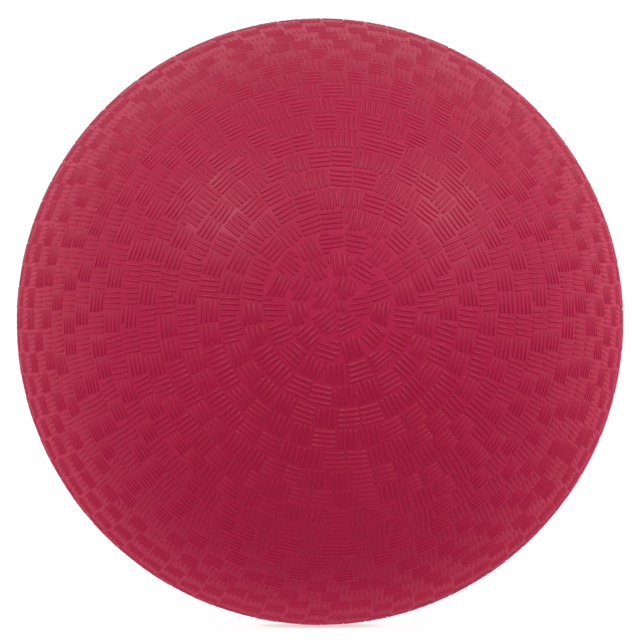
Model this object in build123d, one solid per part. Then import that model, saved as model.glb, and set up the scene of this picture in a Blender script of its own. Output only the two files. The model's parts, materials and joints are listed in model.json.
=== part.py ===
from build123d import *
import os
from math import hypot, sqrt

# Inflated 8.5 inch playground rubber ball, in millimetres.
# The origin is at the centre of the ball, +Z is up, and the needle valve faces +Y (the back).
# Bonded plies, outside to inside: outer cover, nylon winding, bladder. The valve patch and
# boot are bonded to the inside of the bladder, and the self-sealing plug sits in the boot.
# The cover is a smooth sphere over the rib tops: the ribs themselves are not modelled.
# Each piece is turned about Z with the valve at the +Z pole, then laid over to +Y.

# ---------------------------------------------------------------- plies
ball_diameter = 216.0        # over the tops of the ribs
cover_thickness = 1.6        # rib tops to the inside of the cover
winding_thickness = 0.4
bladder_thickness = 0.8

opening_radius = 4.5         # round opening in the cover for the plug's head
lip_radius = 1.0             # rounded lip round the opening, its crown level with the pole

# ---------------------------------------------------------------- valve plug
neck_radius = 2.8            # also the hole in every ply and part under the cover
bulb_radius = 3.9            # bulb that locks the plug in the boot
tail_radius = 1.1            # blunt tip

head_recess = 0.25           # rim of the head under the cover's sphere
head_dish = 0.15             # depth of the shallow dish in the head
head_edge = 0.35             # bevel round the head

needle_radius = 1.0          # blind guide hole for an inflation needle
needle_mouth_radius = 1.7    # lead-in at the mouth of the guide hole
needle_mouth_depth = 0.7
guide_floor_z = 98.0

neck_end_z = 100.4           # where the neck starts to widen into the bulb
bulb_top_z = 99.2            # top of the bulb's straight side
bulb_bottom_z = 95.6         # bottom of the bulb's straight side
bulb_end_z = 94.2            # where the bulb is back to the neck's radius
tail_end_z = 88.6

# ---------------------------------------------------------------- patch and boot
patch_thickness = 0.6
patch_radius = 23.0
patch_edge_inset = 0.3       # slope of the patch's edge, inward across its thickness

flange_thickness = 1.2
flange_radius = 15.0
flange_edge_inset = 0.6      # slope of the flange's edge, inward across its thickness

boot_radius = 6.8            # tube of the boot
boot_end_z = 91.0
boot_end_bevel = 1.2
boot_root_bevel = 1.6        # where the tube runs into the flange

# ---------------------------------------------------------------- shared geometry
# Radii of the spheres that bound the plies, from the outside in.
cover_sphere = ball_diameter / 2
winding_sphere = cover_sphere - cover_thickness
bladder_sphere = winding_sphere - winding_thickness
inside_sphere = bladder_sphere - bladder_thickness
patch_sphere = inside_sphere - patch_thickness
flange_sphere = patch_sphere - flange_thickness

# Half outline (x, z) of the plug inside the boot, from the top down. The boot's pocket
# follows it too.
bulb_outline = [
    (neck_radius, neck_end_z),
    (bulb_radius, bulb_top_z),
    (bulb_radius, bulb_bottom_z),
    (neck_radius, bulb_end_z),
    (neck_radius, boot_end_z),
]


def sphere_point(radius, x):
    """Point (x, z) above the equator on a sphere of this radius, at x off the axis."""
    return x, sqrt(radius * radius - x * x)


def sphere_arc(radius, start_x, end_x):
    """Arc above the equator on a sphere centred on the origin."""
    return ThreePointArc(*(
        sphere_point(radius, x) for x in (start_x, (start_x + end_x) / 2, end_x)
    ))


def lines(*points):
    """Straight edges through the points in turn."""
    return [Line(start, end) for start, end in zip(points, points[1:])]


def turned(*edges):
    """Solid of revolution about Z from a closed half profile."""
    face = Plane.XZ * make_face(list(edges))
    return revolve(face, axis=Axis.Z)


# ---------------------------------------------------------------- pieces
def make_outer_cover():
    """Cover with a rounded lip round the opening."""
    # The lip is a bead centred at (lip_x, lip_z). It joins the cover where their circles
    # cross: "along" is measured towards the bead's centre and "across" square to that.
    lip_x = opening_radius + lip_radius
    lip_z = cover_sphere - lip_radius
    lip_distance = hypot(lip_x, lip_z)
    along = (cover_sphere**2 + lip_distance**2 - lip_radius**2) / (2 * lip_distance)
    across = sqrt(cover_sphere**2 - along**2)
    join = (
        (along * lip_x + across * lip_z) / lip_distance,
        (along * lip_z - across * lip_x) / lip_distance,
    )
    wall_top = (opening_radius, lip_z)
    wall_bottom = sphere_point(winding_sphere, opening_radius)
    return turned(
        ThreePointArc((0, -cover_sphere), (cover_sphere, 0), join),
        ThreePointArc(join, (lip_x, cover_sphere), wall_top),
        Line(wall_top, wall_bottom),
        ThreePointArc(wall_bottom, (winding_sphere, 0), (0, -winding_sphere)),
        Line((0, -winding_sphere), (0, -cover_sphere)),
    )


def make_ply(outer, inner):
    """Spherical ply between two radii, with a hole for the plug's neck."""
    hole_top = sphere_point(outer, neck_radius)
    hole_bottom = sphere_point(inner, neck_radius)
    return turned(
        ThreePointArc((0, -outer), (outer, 0), hole_top),
        Line(hole_top, hole_bottom),
        ThreePointArc(hole_bottom, (inner, 0), (0, -inner)),
        Line((0, -inner), (0, -outer)),
    )


def make_valve_patch():
    """Round patch on the inside of the bladder."""
    edge_x = patch_radius - patch_edge_inset
    return turned(
        sphere_arc(inside_sphere, neck_radius, patch_radius),
        *lines(sphere_point(inside_sphere, patch_radius), sphere_point(patch_sphere, edge_x)),
        sphere_arc(patch_sphere, edge_x, neck_radius),
        *lines(sphere_point(patch_sphere, neck_radius), sphere_point(inside_sphere, neck_radius)),
    )


def make_valve_boot():
    """Flange bonded to the patch, and a tube whose pocket is the plug's own shape."""
    edge_x = flange_radius - flange_edge_inset
    root = sphere_point(flange_sphere, boot_radius + boot_root_bevel)
    root_x, root_z = root
    return turned(
        sphere_arc(patch_sphere, neck_radius, flange_radius),
        *lines(sphere_point(patch_sphere, flange_radius), sphere_point(flange_sphere, edge_x)),
        sphere_arc(flange_sphere, edge_x, root_x),
        *lines(
            root,
            (boot_radius, root_z - boot_root_bevel),
            (boot_radius, boot_end_z + boot_end_bevel),
            (boot_radius - boot_end_bevel, boot_end_z),
            *reversed(bulb_outline),
            sphere_point(patch_sphere, neck_radius),
        ),
    )


def make_valve_plug():
    """Head in the cover's opening, neck through the plies, bulb in the boot, tapered tail."""
    rim_z = sphere_point(cover_sphere, opening_radius)[1] - head_recess
    mouth_z = rim_z - head_dish
    return turned(
        *lines(
            (0, guide_floor_z),
            (needle_radius, guide_floor_z),
            (needle_radius, mouth_z - needle_mouth_depth),
            (needle_mouth_radius, mouth_z),
            (opening_radius - head_edge, rim_z),
            (opening_radius, rim_z - head_edge),
            sphere_point(winding_sphere, opening_radius),
        ),
        # The underside of the head rests on the winding.
        sphere_arc(winding_sphere, opening_radius, neck_radius),
        *lines(
            sphere_point(winding_sphere, neck_radius),
            *bulb_outline,
            (tail_radius, tail_end_z),
            (0, tail_end_z),
            (0, guide_floor_z),
        ),
    )


# ---------------------------------------------------------------- write
parts = {
    "outer_cover": make_outer_cover(),
    "nylon_winding": make_ply(winding_sphere, bladder_sphere),
    "bladder": make_ply(bladder_sphere, inside_sphere),
    "valve_patch": make_valve_patch(),
    "valve_boot": make_valve_boot(),
    "valve_plug": make_valve_plug(),
}
os.makedirs("parts", exist_ok=True)
to_back = Rot(-90, 0, 0)     # turns +Z to +Y
for name, solid in parts.items():
    export_step(to_back * solid, os.path.join("parts", name + ".step"))
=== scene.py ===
# A ball with a moulded red rubber cover over a nylon winding, a bladder and a valve.
# Its centre is the origin. The two halves of the cover meet in the plane y = 0: the front
# half's pole is at -Y, facing the camera, and the back half's, with the valve, at +Y.
# Short ribs cover both halves, in four- or five-rib cells laid in rings about each pole.
import json
import math
import bpy
import numpy as np
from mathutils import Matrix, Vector
from mathutils.geometry import delaunay_2d_cdt

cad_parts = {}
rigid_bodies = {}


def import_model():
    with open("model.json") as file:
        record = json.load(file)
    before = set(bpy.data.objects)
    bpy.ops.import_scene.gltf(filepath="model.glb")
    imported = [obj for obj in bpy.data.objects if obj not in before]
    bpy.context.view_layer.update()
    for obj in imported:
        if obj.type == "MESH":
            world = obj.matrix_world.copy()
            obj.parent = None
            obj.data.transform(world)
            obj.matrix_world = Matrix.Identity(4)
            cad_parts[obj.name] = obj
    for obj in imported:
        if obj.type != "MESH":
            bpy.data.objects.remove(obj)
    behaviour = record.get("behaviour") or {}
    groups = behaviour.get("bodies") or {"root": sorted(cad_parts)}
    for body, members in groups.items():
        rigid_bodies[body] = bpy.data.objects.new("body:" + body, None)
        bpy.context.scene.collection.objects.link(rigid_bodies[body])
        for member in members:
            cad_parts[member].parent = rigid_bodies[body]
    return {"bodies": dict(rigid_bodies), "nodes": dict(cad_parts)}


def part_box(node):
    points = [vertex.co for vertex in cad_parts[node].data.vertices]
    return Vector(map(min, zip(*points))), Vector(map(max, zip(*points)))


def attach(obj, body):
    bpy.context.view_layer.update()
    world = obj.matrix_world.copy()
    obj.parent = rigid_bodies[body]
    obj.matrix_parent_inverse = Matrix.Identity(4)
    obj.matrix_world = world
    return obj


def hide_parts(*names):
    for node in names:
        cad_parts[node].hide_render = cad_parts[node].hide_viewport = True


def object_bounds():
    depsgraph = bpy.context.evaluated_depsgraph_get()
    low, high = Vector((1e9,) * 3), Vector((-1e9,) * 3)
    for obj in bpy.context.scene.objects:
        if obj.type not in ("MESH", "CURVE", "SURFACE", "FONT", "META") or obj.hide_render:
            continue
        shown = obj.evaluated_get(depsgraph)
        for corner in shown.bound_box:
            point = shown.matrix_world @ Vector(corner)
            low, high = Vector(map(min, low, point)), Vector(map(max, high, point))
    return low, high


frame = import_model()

own = set(frame["nodes"].values()) | set(frame["bodies"].values())
for stray in list(bpy.data.objects):      # the start-up file's cube, lamp and camera
    if stray not in own:
        bpy.data.objects.remove(stray, do_unlink=True)
cad_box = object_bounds()

# ------------------------------------------------------------------ sizes
# Millimetres; meshes are written in metres.
MM = 0.001
TAU = 2 * math.pi
cover_low, cover_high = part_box("outer_cover")
winding_low, winding_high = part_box("nylon_winding")
R_TOP = (cover_high.z - cover_low.z) * 500.0 - 0.005  # over the rib tops
RIB = 0.45                                            # rib height
R_LAND = R_TOP - RIB - 0.02                           # the land between ribs
R_IN = (winding_high.x - winding_low.x) * 500.0       # inside of the cover
OPENING = 4.5                                         # radius of the valve's opening

RINGS = 22                                            # rings of cells from pole to parting line
THETA_FIRST = math.radians(1.5)                       # polar angle of the pole cell's edge
THETA_LAST = math.radians(89.80)                      # foot of the parting-line bead
RING_STEP = (THETA_LAST - THETA_FIRST) / RINGS
MERGE = 0.28                                          # closer corners on a ring share a vertex
LONGEST = 8.0                                         # longest edge on a ring

HALF_WIDTH = 0.56                                     # half width of a rib's foot
FIVE_WIDTH = 0.92                                     # width factor where a cell has five ribs
RIB_PITCH = {4: 1.77, 5: 1.50}                        # by number of ribs
V5_PITCH = 1.66                                       # five ribs pointing to the pole
MARGIN = 0.11                                         # land between a rib's end and its cell
REACH = 4.5                                           # most a rib reaches from its centre
SHORTEST = 1.7                                        # shorter ribs are left out

# A rib's three outlines, as a share of its height and the points of the outline:
# (end: 0 start or 1 finish, inset from that end, side as a share of the half width)
RIB_OUTLINES = (
    (0.0, ((0, 0.00, -0.60), (0, 0.18, -1.00), (1, 0.18, -1.00), (1, 0.00, -0.60),
           (1, 0.00, 0.60), (1, 0.18, 1.00), (0, 0.18, 1.00), (0, 0.00, 0.60))),
    (0.80, ((0, 0.16, 0.00), (0, 0.28, -0.56), (1, 0.28, -0.56),
            (1, 0.16, 0.00), (1, 0.28, 0.56), (0, 0.28, 0.56))),
    (1.0, ((0, 0.40, -0.24), (1, 0.40, -0.24), (1, 0.40, 0.24), (0, 0.40, 0.24))),
)

# Random spread of the ribs: angles in degrees, places in mm, the rest as shares.
VARY = {"tilt": 2.3, "tilt_most": 6, "odd_tilt": 4.5, "odd_share": 0.07, "pitch": 0.012,
        "middle": 0.07, "slide": 0.05, "lean": 0.008, "width": 0.025, "end": 0.08,
        "cell_height": 0.05, "least_height": 0.86, "rib_height": 0.02}

# Layout of the cells: rings before LOOSE_RING start near one shared seam.
LOOSE_RING = 8
WIDE_RING = 13                                        # cells vary less from this ring on
WIDE_V5 = 1.13                                        # width factor of a five-rib V cell
FADE_RING = 9                                         # ribs get shallower beyond this ring
FADE = {"V": 0.60, "H": 0.42}                         # height lost at the parting line

# Cells in each ring, pole first; the valve's pad takes the place of the back's ring 0.
FRONT_COUNTS = [5, 11, 17, 24, 30, 35, 42, 47, 52, 57, 62, 66, 71, 76, 80, 84] + [86] * 6
BACK_COUNTS = [0, 12, 18, 24, 30, 36, 41, 47, 53, 57, 62, 66, 70, 76, 80, 84] + [86] * 6

RIM_SIDES = 216                                       # vertices round the parting line
INNER_SIDES = 72                                      # vertices round the inside
INNER_ROWS = 16
# Parting-line bead: (height of its radius over the land, distance from the parting plane)
BEAD = ((0.0, 0.20), (0.13, 0.07), (0.135, 0.0))

# Pad round the valve: (distance from the axis, height over the land)
BOSS = ((9.95, 0), (9.62, 0), (9.45, 0.13), (9.15, 0.22), (8.85, 0.13), (8.68, 0),
        (8.0, 0), (7.2, 0), (6.75, 0.02), (6.5, 0.10))
BOSS_SIDES = 64
LIP = 1.0                                             # round of the opening's lip
LIP_ANGLES = (30, 48, 66, 90, 114, 136, 158, 180)     # degrees


def unit(vector):
    return vector / np.linalg.norm(vector)


def signed(angle):
    """The same angle between -pi and pi."""
    return (angle + math.pi) % TAU - math.pi


def closed(first, end):
    """Edges of a closed outline through points first to end - 1."""
    return [(i, i + 1) for i in range(first, end - 1)] + [(end - 1, first)]


def rib_span(centre, along, across, half_width, normals, offsets):
    """How far a rib runs each way from its centre before it meets its cell's margin."""
    start, finish = -REACH, REACH
    slopes = normals @ along
    for side in (-half_width, 0.0, half_width):
        rooms = normals @ (centre + side * across) - offsets - MARGIN
        for slope, room in zip(slopes, rooms):
            if slope > 1e-3:
                start = max(start, -room / slope)
            elif slope < -1e-3:
                finish = min(finish, -room / slope)
            elif room < 0:
                finish = start
    return start, finish


class Half:
    """One moulded half of the cover, about a pole. A ring is a sorted list of (angle, vertex)."""

    def __init__(self, name, pole, axis_x, seed, seam, counts):
        self.name = name
        self.pole = np.array(pole, float)
        self.axis_x = np.array(axis_x, float)
        self.axis_y = np.cross(self.pole, self.axis_x)
        self.rng = np.random.default_rng(seed)
        self.seam = seam
        self.counts = counts
        self.points, self.faces, self.relief, self.feet = [], [], {}, []

    def direction(self, theta, phi):
        return (
            math.sin(theta) * math.cos(phi) * self.axis_x
            + math.sin(theta) * math.sin(phi) * self.axis_y
            + math.cos(theta) * self.pole
        )

    def add(self, direction, radius):
        self.points.append(direction * radius)
        return len(self.points) - 1

    def loop(self, radius, z, sides):
        """Ring of vertices at a distance from the pole's axis and height z."""
        ring = []
        for i in range(sides):
            angle = TAU * i / sides
            ring.append((angle, len(self.points)))
            self.points.append(radius * math.cos(angle) * self.axis_x
                               + radius * math.sin(angle) * self.axis_y + z * self.pole)
        return ring

    def stitch(self, inner, outer):
        """Triangles between two rings, facing out when inner is nearer the pole."""
        i = j = 0
        inner_n, outer_n = len(inner), len(outer)
        # start the outer ring beside the inner ring's first vertex
        start = min(range(outer_n), key=lambda k: abs(signed(outer[k][0] - inner[0][0])))
        base = inner[0][0] + signed(outer[start][0] - inner[0][0])

        def inner_angle(k):
            return inner[k % inner_n][0] + TAU * (k // inner_n)

        def outer_angle(k):
            k += start
            return outer[k % outer_n][0] + TAU * (k // outer_n) - outer[start][0] + base

        while i < inner_n or j < outer_n:
            a, b = inner[i % inner_n][1], outer[(j + start) % outer_n][1]
            if i < inner_n and (j >= outer_n or inner_angle(i) + inner_angle(i + 1)
                                <= outer_angle(j) + outer_angle(j + 1)):
                self.faces.append((a, b, inner[(i + 1) % inner_n][1]))
                i += 1
            else:
                self.faces.append((a, b, outer[(j + start + 1) % outer_n][1]))
                j += 1

    def cell(self, boundary, theta, phi, kind, ribs, fade=1.0):
        """One cell of ribs: boundary is its vertices, counter-clockwise; theta, phi its middle.
        Kind H has its ribs along the ring, kind V has them towards the pole."""
        rng = self.rng
        # lay the boundary flat in the plane that touches the cell's middle
        middle = self.direction(theta, phi)
        east = -math.sin(phi) * self.axis_x + math.cos(phi) * self.axis_y
        north = -(math.cos(theta) * (math.cos(phi) * self.axis_x + math.sin(phi) * self.axis_y)
                  - math.sin(theta) * self.pole)
        corners = np.array([self.points[i] for i in boundary])
        depth = corners @ middle
        outline = np.stack([corners @ east / depth * R_LAND, corners @ north / depth * R_LAND], 1)
        flat = [tuple(p) for p in outline]
        index = list(boundary)
        edges = closed(0, len(boundary))
        # the cell's sides as inward normals and offsets, for clipping the ribs
        side_vectors = np.roll(outline, -1, 0) - outline
        lengths = np.linalg.norm(side_vectors, axis=1)
        keep = lengths > 1e-6
        normals = np.stack([-side_vectors[:, 1], side_vectors[:, 0]], 1)[keep]
        normals = normals / lengths[keep][:, None]
        offsets = (normals * outline[keep]).sum(1)

        tilt = float(np.clip(rng.normal(0, VARY["tilt"]), -VARY["tilt_most"], VARY["tilt_most"]))
        if rng.random() < VARY["odd_share"]:
            tilt += rng.choice([-VARY["odd_tilt"], VARY["odd_tilt"]])
        tilt *= math.pi / 180
        pitch = RIB_PITCH[ribs] * (1 + rng.normal(0, VARY["pitch"]))
        if kind == "V":
            tilt += math.pi / 2
            if ribs == 5:
                pitch = V5_PITCH
        cell_along = np.array([math.cos(tilt), math.sin(tilt)])
        cell_across = np.array([-cell_along[1], cell_along[0]])
        shift = rng.normal(0, VARY["middle"], 2)
        cell_width = HALF_WIDTH if ribs == 4 else HALF_WIDTH * FIVE_WIDTH
        cell_height = RIB * fade * float(
            np.clip(1 - abs(rng.normal(0, VARY["cell_height"])), VARY["least_height"], 1.0))
        for i in range(ribs):
            centre = (shift + cell_across * (i - (ribs - 1) / 2) * pitch
                      + cell_along * rng.normal(0, VARY["slide"]))
            along = unit(cell_along + cell_across * rng.normal(0, VARY["lean"]))
            across = np.array([-along[1], along[0]])
            half_width = cell_width * (1 + rng.normal(0, VARY["width"]))
            start, finish = rib_span(centre, along, across, half_width, normals, offsets)
            start += abs(rng.normal(0, VARY["end"]))
            finish -= abs(rng.normal(0, VARY["end"]))
            if finish - start < SHORTEST:
                continue
            rib_height = cell_height * (1 - abs(rng.normal(0, VARY["rib_height"])))
            for level, points in RIB_OUTLINES:
                height = level * rib_height
                first = len(flat)
                for end, inset, side in points:
                    x = finish - inset if end else start + inset
                    place = centre + x * along + side * half_width * across
                    flat.append((float(place[0]), float(place[1])))
                    out = unit(middle + (place[0] * east + place[1] * north) / R_LAND)
                    index.append(self.add(out, R_LAND + height))
                    self.relief[index[-1]] = height / RIB
                ring = closed(first, len(flat))
                edges += ring
                if level == 0:
                    self.feet += [(index[a], index[b]) for a, b in ring]

        cut = delaunay_2d_cdt([Vector(p) for p in flat], edges, [], 1, 1e-6)
        triangles, origins = cut[2], cut[3]
        if not all(origins):
            raise RuntimeError("a cell's outlines cross")
        source = [index[origin[0]] for origin in origins]
        for face in triangles:
            for i in range(1, len(face) - 1):
                self.faces.append((source[face[0]], source[face[i]], source[face[i + 1]]))

    def circle(self, theta, angles):
        """Ring of vertices between two rings of cells, at the cells' corners and between."""
        kept = []
        scale = math.sin(theta) * R_LAND
        for angle in sorted(a % TAU for a in angles):
            if kept and (angle - kept[-1]) * scale < MERGE:
                continue
            kept.append(angle)
        if len(kept) > 1 and (kept[0] + TAU - kept[-1]) * scale < MERGE:
            kept.pop()
        full = []
        for i, angle in enumerate(kept):
            following = kept[(i + 1) % len(kept)] + (TAU if i == len(kept) - 1 else 0)
            full.append(angle)
            parts = int(math.ceil((following - angle) * scale / LONGEST))
            full += [angle + (following - angle) * k / parts for k in range(1, parts)]
        return sorted((a % TAU, self.add(self.direction(theta, a), R_LAND)) for a in full)

    @staticmethod
    def arc(circle, first, last):
        """The circle's vertices between two angles, each snapped to its nearest vertex."""
        angles = np.array([angle for angle, _ in circle])
        k = int(np.argmin(abs(signed(angles - first))))
        end = int(np.argmin(abs(signed(angles - last))))
        vertices = [circle[k][1]]
        while k != end:
            k = (k + 1) % len(circle)
            vertices.append(circle[k][1])
        return vertices

    def plan(self, first_ring):
        """The cells of each ring as (start angle, end angle, kind, ribs). Kinds take turns along
        a ring, and a ring is laid against the one before it, so that unlike patches meet;
        where the rings run out of step, two alike sit side by side."""
        rng, rings = self.rng, {}
        for k in range(first_ring, RINGS):
            count = self.counts[k]
            ring_radius = R_LAND * math.sin(THETA_FIRST + RING_STEP * (k + 0.5))
            before = rings.get(k - 1)
            loose = k >= LOOSE_RING
            seam = self.seam
            if loose:
                want = rng.uniform(0, TAU)
                seam = min((c[0] for c in before), key=lambda a: abs(signed(a - want)))
            start = seam + rng.normal(0, 0.35 if loose else 1.0) / ring_radius
            step = TAU / count

            def kind_before(angle):
                for cell in before:
                    if (angle - cell[0]) % TAU < (cell[1] - cell[0]):
                        return cell[2]
                return before[0][2]

            # a kind is repeated only after this many turns, and where at least this many
            # of five sample points would otherwise meet their own kind
            turns, matches = (5, 4) if loose else (2, 3)
            kinds, since = [], 9
            for j in range(count):
                if j == 0:
                    kind = "V" if before is None or kind_before(start + step / 2) == "H" else "H"
                else:
                    kind = "H" if kinds[-1] == "V" else "V"
                    if before and since >= turns and 1 < j < count - 2:
                        same = sum(kind_before(start + step * (j + part)) == kind
                                   for part in (0.1, 0.3, 0.5, 0.7, 0.9))
                        if same >= matches:
                            kind = kinds[-1]
                            since = 0
                since += 1
                kinds.append(kind)

            ribs = []
            v5_share = 0.09 if k < WIDE_RING else 0.03
            for kind in kinds:
                draw = rng.random()
                five = (kind == "V" and draw < v5_share) or (k < 3 and draw < 0.3) or draw < 0.015
                ribs.append(5 if five else 4)
            widths = np.array([WIDE_V5 if kind == "V" and number == 5 and k > 2 else 1.0
                               for kind, number in zip(kinds, ribs)])
            widths *= 1 + rng.normal(0, 0.012 if k < WIDE_RING else 0.006, count)
            edge = start + TAU * np.concatenate([[0], np.cumsum(widths)]) / widths.sum()
            rings[k] = [(float(edge[j]), float(edge[j + 1]), kinds[j], ribs[j])
                        for j in range(count)]
        return rings

    def build(self, first_ring):
        """All rings of cells from first_ring to the parting line."""
        rings = self.plan(first_ring)
        thetas = [THETA_FIRST + RING_STEP * k for k in range(RINGS + 1)]
        self.circles = {}
        for k in range(first_ring, RINGS + 1):
            angles = [cell[0] for cell in rings.get(k, []) + rings.get(k - 1, [])]
            self.circles[k] = self.circle(thetas[k], angles)
        for k in range(first_ring, RINGS):
            theta = (thetas[k] + thetas[k + 1]) / 2
            fading = max(0.0, (k - FADE_RING) / (RINGS - 1 - FADE_RING)) ** 1.1
            for first, last, kind, ribs in rings[k]:
                outer = self.arc(self.circles[k + 1], first, last)
                inner = self.arc(self.circles[k], first, last)
                boundary = outer + inner[::-1]
                boundary = [v for i, v in enumerate(boundary) if v != boundary[i - 1]]
                self.cell(boundary, theta, (first + last) / 2, kind, ribs,
                          fade=1.0 - FADE[kind] * fading)

    def rim(self, hole=0.0):
        """Parting-line bead, flat rim and inside of the half; returns the last inside ring."""
        ring = self.circles[RINGS]
        for height, z in BEAD:
            below = self.loop(R_LAND + height, z, RIM_SIDES)
            self.stitch(ring, below)
            ring = below
        self.sharp = [vertex for _, vertex in ring]
        self.outside_faces = len(self.faces)
        last = self.loop(R_IN, 0.0, INNER_SIDES)
        self.stitch(ring, last)
        theta_end = math.asin(hole / R_IN)
        for k in range(1, INNER_ROWS + 1 if hole else INNER_ROWS):
            theta = math.pi / 2 + (theta_end - math.pi / 2) * k / INNER_ROWS
            ring = self.loop(R_IN * math.sin(theta), R_IN * math.cos(theta), INNER_SIDES)
            self.stitch(last, ring)
            last = ring
        if not hole:
            tip = self.add(self.pole, R_IN)
            for i in range(INNER_SIDES):
                self.faces.append((last[i][1], tip, last[(i + 1) % INNER_SIDES][1]))
        return last


def valve_boss(half):
    """The smooth pad round the valve: a fine border bead, then the opening's rounded lip."""
    rows = [(radius, math.sqrt((R_LAND + height) ** 2 - radius * radius))
            for radius, height in BOSS]
    for degrees in LIP_ANGLES:
        angle = math.radians(degrees)
        rows.append((OPENING + LIP + LIP * math.cos(angle), R_TOP - LIP + LIP * math.sin(angle)))
    last = half.circles[1]
    for radius, z in rows:
        ring = half.loop(radius, z, BOSS_SIDES)
        half.stitch(ring, last)
        last = ring
    return last


def link_object(name, mesh):
    made = bpy.data.objects.new(name, mesh)
    bpy.context.scene.collection.objects.link(made)
    return made


def build_mesh(half):
    """Object from a half: smooth, with a sharp rim and rib feet, a relief attribute and UVs."""
    points = np.array(half.points)
    faces = np.array(half.faces, np.int32)
    mesh = bpy.data.meshes.new(half.name)
    mesh.vertices.add(len(points))
    mesh.vertices.foreach_set("co", (points * MM).astype(np.float32).ravel())
    mesh.loops.add(len(faces) * 3)
    mesh.loops.foreach_set("vertex_index", faces.ravel())
    mesh.polygons.add(len(faces))
    mesh.polygons.foreach_set("loop_start", np.arange(0, len(faces) * 3, 3, dtype=np.int32))
    mesh.update(calc_edges=True)
    mesh.polygons.foreach_set("use_smooth", np.ones(len(faces), bool))

    count = len(points)
    on_rim = np.zeros(count, bool)
    on_rim[half.sharp] = True
    edges = np.zeros(len(mesh.edges) * 2, np.int32)
    mesh.edges.foreach_get("vertices", edges)
    edges = edges.reshape(-1, 2)

    def edge_keys(pairs):
        pairs = pairs.astype(np.int64)
        return pairs.min(1) * count + pairs.max(1)

    is_foot = np.isin(edge_keys(edges), edge_keys(np.array(half.feet)))
    sharp = mesh.attributes.new("sharp_edge", "BOOLEAN", "EDGE")
    sharp.data.foreach_set("value", on_rim[edges].all(1) | is_foot)
    relief = np.zeros(count, np.float32)
    relief[list(half.relief)] = list(half.relief.values())
    mesh.attributes.new("relief", "FLOAT", "POINT").data.foreach_set("value", relief)

    # flat map of the outside about the pole; the inside is a small disc in a corner
    x, y, z = points @ half.axis_x, points @ half.axis_y, points @ half.pole
    angle = np.arctan2(y, x)
    polar = np.arctan2(np.hypot(x, y), z) / (math.pi / 2)

    def disc(centre, radius):
        return np.stack([centre + radius * polar * np.cos(angle),
                         centre + radius * polar * np.sin(angle)], 1)[faces.ravel()]

    coords = disc(centre=0.5, radius=0.49)
    inside = half.outside_faces * 3
    coords[inside:] = disc(centre=0.075, radius=0.06)[inside:]
    layer = mesh.uv_layers.new(name="OFBake")
    layer.data.foreach_set("uv", coords.astype(np.float32).ravel())
    return link_object(half.name, mesh)


# ------------------------------------------------------------------ the cover
front = Half("cover_front_half", pole=(0, -1, 0), axis_x=(1, 0, 0), seed=11,
             seam=math.radians(42), counts=FRONT_COUNTS)
front.build(first_ring=0)
pole_boundary = [vertex for _, vertex in front.circles[0]]
front.cell(pole_boundary, theta=0.0, phi=0.0, kind="H", ribs=4)
front.rim()

back = Half("cover_back_half", pole=(0, 1, 0), axis_x=(-1, 0, 0), seed=29,
            seam=math.radians(200), counts=BACK_COUNTS)
back.build(first_ring=1)
lip_ring = valve_boss(back)
inside_ring = back.rim(hole=OPENING)
back.stitch(inside_ring, lip_ring)        # the opening's wall

cover_front, cover_back = build_mesh(front), build_mesh(back)


# ------------------------------------------------------------------ the valve's plug
def fillet(before, corner, after, radius, steps=5):
    """Points of a round at a corner of a profile."""
    before, corner, after = (np.array(p, float) for p in (before, corner, after))
    to_before, to_after = unit(before - corner), unit(after - corner)
    half_angle = math.acos(float(np.clip(to_before @ to_after, -1, 1))) / 2
    reach = radius / math.tan(half_angle)
    middle = corner + unit(to_before + to_after) * (radius / math.sin(half_angle))
    start, end = corner + to_before * reach - middle, corner + to_after * reach - middle
    turn = math.atan2(start[0] * end[1] - start[1] * end[0], start @ end)
    points = []
    for k in range(steps + 1):
        angle = turn * k / steps
        points.append((middle[0] + start[0] * math.cos(angle) - start[1] * math.sin(angle),
                       middle[1] + start[0] * math.sin(angle) + start[1] * math.cos(angle)))
    return points


def turned_mesh(name, corners, sides=72):
    """Smooth object turned about +Y; corners are (radius, height, round) from end to end."""
    profile = []
    for k, (x, y, radius) in enumerate(corners):
        if radius:
            profile += fillet(corners[k - 1][:2], (x, y), corners[k + 1][:2], radius)
        else:
            profile.append((x, y))
    points, faces, rings = [(0.0, profile[0][1] * MM, 0.0)], [], []
    for x, y in profile[1:-1]:
        rings.append(len(points))
        for i in range(sides):
            angle = TAU * i / sides
            points.append((-x * math.cos(angle) * MM, y * MM, x * math.sin(angle) * MM))
    tip = len(points)
    points.append((0.0, profile[-1][1] * MM, 0.0))
    for i in range(sides):
        j = (i + 1) % sides
        faces.append((0, rings[0] + j, rings[0] + i))
        faces.append((tip, rings[-1] + i, rings[-1] + j))
        for lower, upper in zip(rings, rings[1:]):
            faces.append((lower + i, lower + j, upper + j, upper + i))
    mesh = bpy.data.meshes.new(name)
    mesh.from_pydata(points, [], faces)
    mesh.polygons.foreach_set("use_smooth", np.ones(len(mesh.polygons), bool))
    mesh.set_sharp_from_angle(angle=math.radians(38))
    mesh.update()
    return link_object(name, mesh)


def on_winding(radius):
    """Height at which a cylinder about the valve's axis meets the winding."""
    return math.sqrt(R_IN * R_IN - radius * radius)


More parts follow.
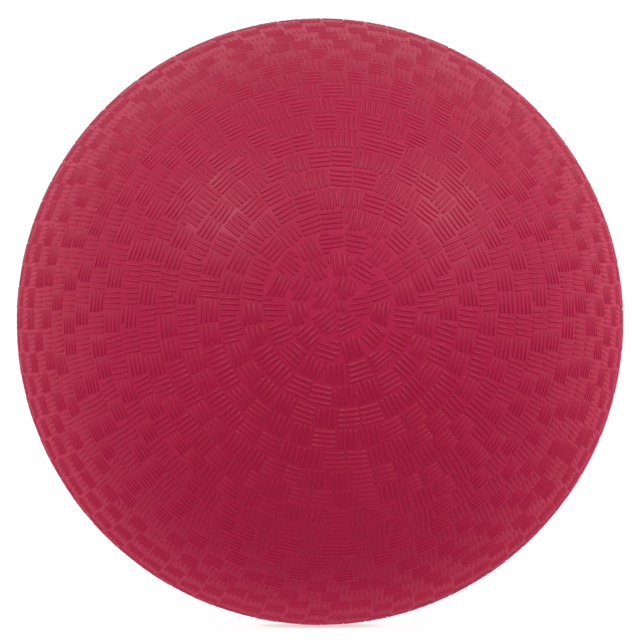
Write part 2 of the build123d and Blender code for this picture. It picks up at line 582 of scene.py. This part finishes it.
plug_low, plug_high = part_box("valve_plug")
head = plug_high.y * 1000.0
tail = plug_low.y * 1000.0
HEAD_R = OPENING - 0.01
NECK_R = 2.79
COLLAR_R = 3.89
BORE_R = 1.0
BORE_FLOOR = 98.0
face = head - 0.02                        # the head's outer face
plug = turned_mesh("plug", [
    (0.0, tail, 0), (1.09, tail, 0.5), (NECK_R, 91.0, 0.6),
    (NECK_R, 94.2, 0.6), (COLLAR_R, 95.6, 0.5), (COLLAR_R, 99.2, 0.5), (NECK_R, 100.4, 0.5),
    (NECK_R, on_winding(NECK_R), 0), (HEAD_R, on_winding(HEAD_R) + 0.01, 0),
    (HEAD_R, face, 0.42), (3.4, face, 0.3), (2.6, head - 0.13, 0.4), (1.62, head - 0.15, 0.22),
    (BORE_R, head - 0.85, 0.3), (BORE_R, BORE_FLOOR, 0.3), (0.0, BORE_FLOOR, 0),
])


# ------------------------------------------------------------------ materials
class Graph:
    """Adds nodes to a shader tree. An input takes a plain value or another node's output."""

    def __init__(self, tree):
        self.tree = tree

    def feed(self, socket, value):
        if isinstance(value, bpy.types.NodeSocket):
            self.tree.links.new(value, socket)
        else:
            socket.default_value = value

    def node(self, kind, inputs=None, **props):
        made = self.tree.nodes.new(kind)
        for key, value in props.items():
            setattr(made, key, value)
        for key, value in (inputs or {}).items():
            self.feed(made.inputs[key], value)
        return made

    def math(self, operation, first, second=0.0):
        return self.node("ShaderNodeMath", {0: first, 1: second}, operation=operation).outputs[0]

    def total(self, *terms):
        """Sum of (weight, value) terms."""
        result = 0.0
        for weight, value in terms:
            result = self.math("ADD", result, self.math("MULTIPLY", value, weight))
        return result

    def rise(self, value, low, high):
        """Smooth step from 0 at low to 1 at high."""
        return self.node("ShaderNodeMapRange", {"From Min": low, "From Max": high, "Value": value},
                         interpolation_type="SMOOTHSTEP").outputs["Result"]

    def source(self, kind, strength):
        """White light from an emission or background node."""
        return self.node(kind, {"Color": (1, 1, 1, 1), "Strength": strength}).outputs[0]

    def by_ray(self, ray, for_ray, otherwise):
        """Mix of two shader outputs by the kind of ray that meets them."""
        path = self.node("ShaderNodeLightPath")
        inputs = {0: path.outputs[ray], 1: otherwise, 2: for_ray}
        return self.node("ShaderNodeMixShader", inputs).outputs[0]


class Material(Graph):
    """A new material and its graph; textures lie in object space."""

    def __init__(self, name):
        self.material = bpy.data.materials.new(name)
        self.material.use_nodes = True
        super().__init__(self.material.node_tree)
        self.principled = self.tree.nodes["Principled BSDF"]
        self.position = self.node("ShaderNodeTexCoord").outputs["Object"]

    def noise(self, scale, detail, rough, vector=None):
        return self.node("ShaderNodeTexNoise", {
            "Scale": scale, "Detail": detail, "Roughness": rough,
            "Vector": vector or self.position}).outputs["Fac"]

    def ramp(self, value, low, high, start=0.0, end=1.0):
        """Straight change from start at low to end at high."""
        return self.node("ShaderNodeMapRange", {
            "From Min": low, "From Max": high, "To Min": start, "To Max": end,
            "Value": value}).outputs["Result"]

    def mix(self, share, first, second):
        first, second = ((*c, 1.0) if isinstance(c, tuple) else c for c in (first, second))
        inputs = {0: share, 6: first, 7: second}
        return self.node("ShaderNodeMix", inputs, data_type="RGBA").outputs[2]

    def surface(self, colour, rough, specular):
        inputs = self.principled.inputs
        self.feed(inputs["Base Color"], colour)
        self.feed(inputs["Roughness"], rough)
        self.feed(inputs["Specular IOR Level"], specular)

    def bump(self, height, strength, distance):
        made = self.node("ShaderNodeBump", {
            "Strength": strength, "Distance": distance, "Height": height})
        self.feed(self.principled.inputs["Normal"], made.outputs["Normal"])


def cover_rubber():
    """Red rubber: cloudy, with painted shade darkening the ribs' flanks, and worn paler on their
    tops.
    """
    base = (0.446, 0.0094, 0.0605)
    deep = (0.404, 0.0072, 0.0510)
    pale = (0.476, 0.0160, 0.0765)
    painted_shade_red = (0.315, 0.0045, 0.034)
    m = Material("cover_rubber")
    relief = m.node("ShaderNodeAttribute", attribute_name="relief").outputs["Fac"]
    cloud = m.ramp(m.noise(scale=13.0, detail=4.0, rough=0.55), low=0.32, high=0.68)
    colour = m.mix(cloud, deep, base)
    fine = m.ramp(m.noise(scale=900.0, detail=2.0, rough=0.6), low=0.35, high=0.7, end=0.25)
    colour = m.mix(fine, colour, pale)
    # painted shade: the colour is darkened on the ribs' sloping flanks, between foot and top
    painted_flank_shade = m.math("MULTIPLY", m.ramp(relief, low=0.0, high=0.15),
                   m.ramp(relief, low=0.60, high=0.95, start=1.0, end=0.0))
    colour = m.mix(m.math("MULTIPLY", painted_flank_shade, 0.60), colour, painted_shade_red)
    patches = m.noise(scale=48.0, detail=3.0, rough=0.6)
    worn = m.math("MULTIPLY", m.ramp(relief, low=0.7, high=1.0),
                  m.ramp(patches, low=0.48, high=0.72, end=0.35))
    colour = m.mix(worn, colour, pale)
    skin = m.ramp(m.noise(scale=240.0, detail=3.0, rough=0.6),
                  low=0.3, high=0.7, start=0.36, end=0.50)
    rough = m.math("ADD", skin, m.math("MULTIPLY", relief, -0.05))
    # the dull skin keeps its edge-on glare low
    facing = m.node("ShaderNodeLayerWeight").outputs["Facing"]
    m.surface(colour, rough, m.ramp(facing, low=0.30, high=0.85, start=0.11, end=0.01))
    coarse = m.math("MULTIPLY", m.noise(scale=420.0, detail=2.0, rough=0.5), 1.6)
    grain = m.math("ADD", m.noise(scale=1500.0, detail=2.0, rough=0.6), coarse)
    m.bump(grain, strength=0.30, distance=0.00004)
    return m.material


def tint(colour, factor, lift=0.0):
    return tuple(min(1.0, c * factor + lift) for c in colour)


def dark_rubber(name, colour, rough, weave=0.0, dust=0.0):
    """Moulded black rubber: cloudy colour, fine skin, pits; a cloth print or dust if asked."""
    m = Material(name)
    cloud = m.ramp(m.noise(scale=70.0, detail=5.0, rough=0.6), low=0.3, high=0.7)
    shade = m.mix(cloud, tint(colour, factor=0.72), tint(colour, factor=1.25, lift=0.003))
    wear = m.ramp(m.noise(scale=380.0, detail=4.0, rough=0.7), low=0.55, high=0.78, end=0.5)
    shade = m.mix(wear, shade, tint(colour, factor=1.9, lift=0.008))
    if dust:
        powder = m.math(
            "MULTIPLY",
            m.ramp(m.noise(scale=26.0, detail=6.0, rough=0.65), low=0.42, high=0.66),
            m.ramp(m.noise(scale=1100.0, detail=3.0, rough=0.7), low=0.35, high=0.65))
        talc = (0.42, 0.41, 0.39)
        shade = m.mix(m.math("MULTIPLY", powder, dust), shade, talc)
    skin = m.ramp(m.noise(scale=300.0, detail=4.0, rough=0.65),
                  low=0.3, high=0.7, start=rough - 0.10, end=rough + 0.12)
    m.surface(shade, skin, specular=0.42)
    coarse = m.math("MULTIPLY", m.noise(scale=520.0, detail=3.0, rough=0.55), 1.4)
    height = m.math("ADD", m.noise(scale=1700.0, detail=3.0, rough=0.6), coarse)
    pits = m.ramp(m.noise(scale=950.0, detail=1.0, rough=0.5),
                  low=0.26, high=0.34, start=-0.8, end=0.0)
    height = m.math("ADD", height, pits)
    if weave:
        for axis in "XZ":
            wave = m.node("ShaderNodeTexWave", {
                "Scale": 260.0, "Distortion": 0.6, "Detail": 2.0, "Vector": m.position,
            }, wave_type="BANDS", bands_direction=axis)
            height = m.math("ADD", height, m.math("MULTIPLY", wave.outputs["Fac"], weave))
    m.bump(height, strength=0.45, distance=0.00005)
    return m.material


def wound_thread():
    """Nylon thread: runs of parallel thread crossing at many angles, set in latex."""
    m = Material("nylon_thread")
    height = None
    rng = np.random.default_rng(5)
    for _ in range(7):
        angles = tuple(float(v) for v in rng.uniform(0, math.pi, 3))
        turned = m.node("ShaderNodeVectorRotate", {"Rotation": angles, "Vector": m.position},
                        rotation_type="EULER_XYZ").outputs[0]
        wave = m.node("ShaderNodeTexWave", {
            "Scale": 620.0,               # thread pitch about half a millimetre
            "Distortion": 1.2, "Detail": 1.0, "Detail Scale": 0.2, "Vector": turned,
        }, wave_type="BANDS", bands_direction="X", wave_profile="SIN")
        tone = m.ramp(m.noise(scale=210.0, detail=2.0, rough=0.5, vector=turned),
                      low=0.3, high=0.7, start=0.75, end=1.0)
        thread = m.math("MULTIPLY", wave.outputs["Fac"], tone)
        if height is None:
            height = thread
        else:
            run = m.ramp(m.noise(scale=34.0, detail=2.0, rough=0.5, vector=turned),
                         low=0.50, high=0.53)
            inputs = {0: run, 2: height, 3: thread}
            height = m.node("ShaderNodeMix", inputs, data_type="FLOAT").outputs[0]
    gap_brown, thread_cream, latex_tan = (0.20, 0.155, 0.085), (0.74, 0.69, 0.56), (0.46, 0.36, 0.20)
    colour = m.mix(m.ramp(height, low=0.05, high=0.75), gap_brown, thread_cream)
    latex = m.ramp(m.noise(scale=55.0, detail=5.0, rough=0.6), low=0.50, high=0.72, end=0.55)
    colour = m.mix(latex, colour, latex_tan)
    rough = m.ramp(height, low=0.0, high=1.0, start=0.68, end=0.38)
    m.surface(colour, rough, specular=0.35)
    m.bump(height, strength=0.8, distance=0.00015)
    return m.material


def dress(part, material, piece):
    """Give a new part its material and let it stand in for a CAD piece."""
    part.data.materials.append(material)
    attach(part, "root")
    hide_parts(piece)


def assign(node, material):
    """Give a CAD piece its material."""
    materials = frame["nodes"][node].data.materials
    materials.clear()
    materials.append(material)


red_rubber = cover_rubber()
for cover in (cover_front, cover_back):
    dress(cover, red_rubber, "outer_cover")
assign("nylon_winding", wound_thread())
assign("bladder", dark_rubber("butyl_rubber", colour=(0.020, 0.020, 0.022), rough=0.52, dust=0.55))
assign("valve_patch",
       dark_rubber("patch_rubber", colour=(0.036, 0.035, 0.036), rough=0.62, weave=1.1))
assign("valve_boot", dark_rubber("boot_rubber", colour=(0.028, 0.028, 0.030), rough=0.50))
dress(plug, dark_rubber("plug_rubber", colour=(0.024, 0.023, 0.024), rough=0.44),
      "valve_plug")

# ------------------------------------------------------------------ stage, light and camera
# Strengths of the room and the floor by direction and place, as the camera sees them:
# front is the camera's side, back is beyond the ball. SEEN is what glossy rays meet.
ROOM = {"front": 1.02, "side": 1.15, "wing": 0.58, "back": 2.36, "back_up": 2.25}
ROOM_SEEN = {"all": 0.85, "front": 3.45, "up": 1.55}
ROOM_CAMERA = 1.05
TABLE = {"all": 0.71, "near": 0.42, "far": 2.35, "side": 0.12, "right": 0.05}
TABLE_SEEN = {"all": 0.15, "near": 0.50}
TABLE_CAMERA = {"all": 0.62, "open": 0.31}            # open: lost where the ball is close, a painted contact shadow
scene = bpy.context.scene


def floor_white():
    """A light table, matt white to the camera with a faint contact shadow, partly real from its lit
    matt layer and partly painted into its glow.
    """
    m = Material("floor_white")
    m.surface(colour=(0.20, 0.20, 0.20, 1), rough=0.95, specular=0.0)
    turned = m.node("ShaderNodeVectorTransform", {0: m.position}, vector_type="VECTOR",
                    convert_from="WORLD", convert_to="CAMERA")
    place = m.node("ShaderNodeSeparateXYZ", {0: turned.outputs[0]})
    across, away = place.outputs["X"], place.outputs["Z"]
    glow = m.total(
        (TABLE["all"], 1.0),
        (TABLE["near"], m.rise(away, low=-0.11, high=-0.03)),
        (TABLE["far"], m.rise(away, low=-0.02, high=0.25)),
        (TABLE["side"], m.rise(m.math("ABSOLUTE", across), low=0.04, high=0.20)),
        (TABLE["right"], m.rise(across, low=0.04, high=0.20)))
    sheen = m.total((TABLE_SEEN["all"], 1.0),
                    (TABLE_SEEN["near"], m.rise(away, low=-0.08, high=0.0)))
    unseen = m.by_ray("Is Glossy Ray", m.source("ShaderNodeEmission", sheen),
                      m.source("ShaderNodeEmission", glow))
    # painted contact shadow: ambient occlusion dims the glow only where the floor nearly meets the
    # ball
    touch = m.node("ShaderNodeAmbientOcclusion", {"Distance": 0.003}, samples=16)
    white = m.total((TABLE_CAMERA["all"], 1.0), (TABLE_CAMERA["open"], touch.outputs["AO"]))
    lit = m.node("ShaderNodeAddShader", {
        0: m.principled.outputs[0], 1: m.source("ShaderNodeEmission", white)})
    m.feed(m.tree.nodes["Material Output"].inputs["Surface"],
           m.by_ray("Is Camera Ray", lit.outputs[0], unseen))
    return m.material


def build_room():
    """White room, turned with the camera: brighter at the sides and beyond the ball."""
    world = bpy.data.worlds.new("studio")
    scene.world = world
    world.use_nodes = True
    g = Graph(world.node_tree)
    g.tree.nodes.remove(g.tree.nodes["Background"])
    coords = g.node("ShaderNodeTexCoord")
    in_world = g.node("ShaderNodeSeparateXYZ", {0: coords.outputs["Generated"]})
    in_view = g.node("ShaderNodeSeparateXYZ", {0: coords.outputs["Camera"]})
    away = in_view.outputs["Z"]
    upward = g.math("MAXIMUM", in_world.outputs["Z"])
    beyond = g.math("MAXIMUM", away)
    camera_side = g.math("MAXIMUM", g.math("MULTIPLY", away, -1.0))
    across = g.math("ABSOLUTE", in_view.outputs["X"])
    level = g.total(
        (ROOM["front"], camera_side),
        (ROOM["side"], g.math("POWER", across, 2.0)),
        (ROOM["wing"], g.math("POWER", across, 5.0)),
        (ROOM["back"], beyond),
        (ROOM["back_up"], g.math("MULTIPLY", beyond, upward)))
    mirror = g.total((ROOM_SEEN["all"], 1.0), (ROOM_SEEN["front"], camera_side),
                     (ROOM_SEEN["up"], upward))
    unseen = g.by_ray("Is Glossy Ray", g.source("ShaderNodeBackground", mirror),
                      g.source("ShaderNodeBackground", level))
    g.feed(g.tree.nodes["World Output"].inputs["Surface"],
           g.by_ray("Is Camera Ray", g.source("ShaderNodeBackground", ROOM_CAMERA), unseen))


floor_material = floor_white()
bpy.ops.mesh.primitive_plane_add(size=16, location=(0, 0, cad_box[0][2]))
floor = bpy.context.object
floor.name = "floor"
floor.data.materials.append(floor_material)
build_room()

# camera on the -Y side, a little to -X and below the ball's centre
DISTANCE = 11.15                          # from the ball's centre, in ball radii
OUTLINE = 0.47515625                      # radius of the ball's outline, in picture widths
azimuth, elevation = math.radians(-3.6), math.radians(-2.5)
to_camera = Vector((math.sin(azimuth) * math.cos(elevation),
                    -math.cos(azimuth) * math.cos(elevation), math.sin(elevation)))
lens = bpy.data.cameras.new("camera")
camera = link_object("camera", lens)
scene.camera = camera
camera.location = to_camera * (DISTANCE * (R_TOP * MM))
facing = (-to_camera).to_track_quat("-Z", "Y")
camera.rotation_euler = facing.to_euler()
lens.sensor_width = 36.0
lens.lens = OUTLINE * math.sqrt(DISTANCE * DISTANCE - 1) * 36.0
lens.shift_x = 0.00021875
lens.shift_y = 0.00265625
lens.clip_start = 0.05
lens.clip_end = 50.0

# soft lights on a rig round the ball that turns with the camera
rig = link_object("light_rig", None)
follow = rig.constraints.new("COPY_ROTATION")
follow.target = camera


def area(name, place, size, power, diffuse):
    """Square light at a world place for this camera; it gives either diffuse light or sheen."""
    data = bpy.data.lights.new(name, "AREA")
    data.shape = "RECTANGLE"
    data.size = data.size_y = size
    data.energy = power
    light = bpy.data.objects.new(name, data)
    on_rig = facing.inverted() @ Vector(place)
    light.parent = rig
    light.location = on_rig
    light.rotation_euler = (-on_rig).to_track_quat("-Z", "Y").to_euler()
    light.visible_diffuse = diffuse
    light.visible_glossy = not diffuse
    scene.collection.objects.link(light)


RIGHT_HIGH = (0.845, -0.569, 0.808)
# name, place in metres, power in watts
FILLS = (("left", (-0.766, -0.638, 0.834), 0.18), ("right", RIGHT_HIGH, 0.70))
GLEAMS = (
    ("left_high", (-0.747, -0.696, 0.805), 5.6), ("left_low", (-0.694, -0.824, 0.727), 5.0),
    ("right_high", RIGHT_HIGH, 5.0), ("right_low", (0.768, -0.745, 0.738), 5.9),
    ("top", (0.02, -0.80, 1.02), 3.0),
)
for name, place, power in FILLS:
    area("fill_" + name, place, size=0.45, power=power, diffuse=True)
for name, place, power in GLEAMS:
    area("gleam_" + name, place, size=0.26, power=power, diffuse=False)

scene.view_settings.view_transform = "Standard"
scene.view_settings.look = "None"
scene.view_settings.exposure = 0.0
scene.view_settings.gamma = 1.0
